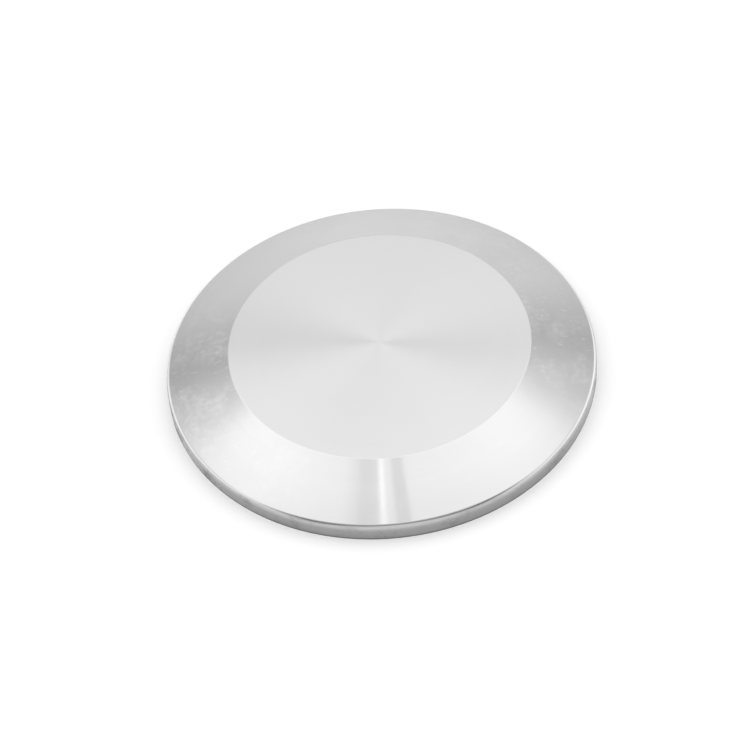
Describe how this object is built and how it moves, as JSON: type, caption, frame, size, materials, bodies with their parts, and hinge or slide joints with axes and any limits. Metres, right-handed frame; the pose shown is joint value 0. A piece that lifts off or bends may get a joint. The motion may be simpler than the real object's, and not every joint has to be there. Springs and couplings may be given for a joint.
{
  "type": "sanitary clamp end cap",
  "caption": "Solid stainless-steel end cap for a sanitary clamp joint: a turned disc with a wedge bevel round its flat outer face and a ring groove for the gasket underneath.",
  "frame": {"origin": "centre of the gasket face, which is the face that the cap lies on", "axes": "+Z along the cap's own axis, from the gasket face towards the bevelled outer face; X and Y are any two directions across it, because the cap is turned"},
  "size_m": [0.064, 0.064, 0.0063],
  "materials": {
    "turned_steel": "satin"
  },
  "bodies": {
    "root": {"end_cap": "turned_steel"}
  },
  "joints": []
}
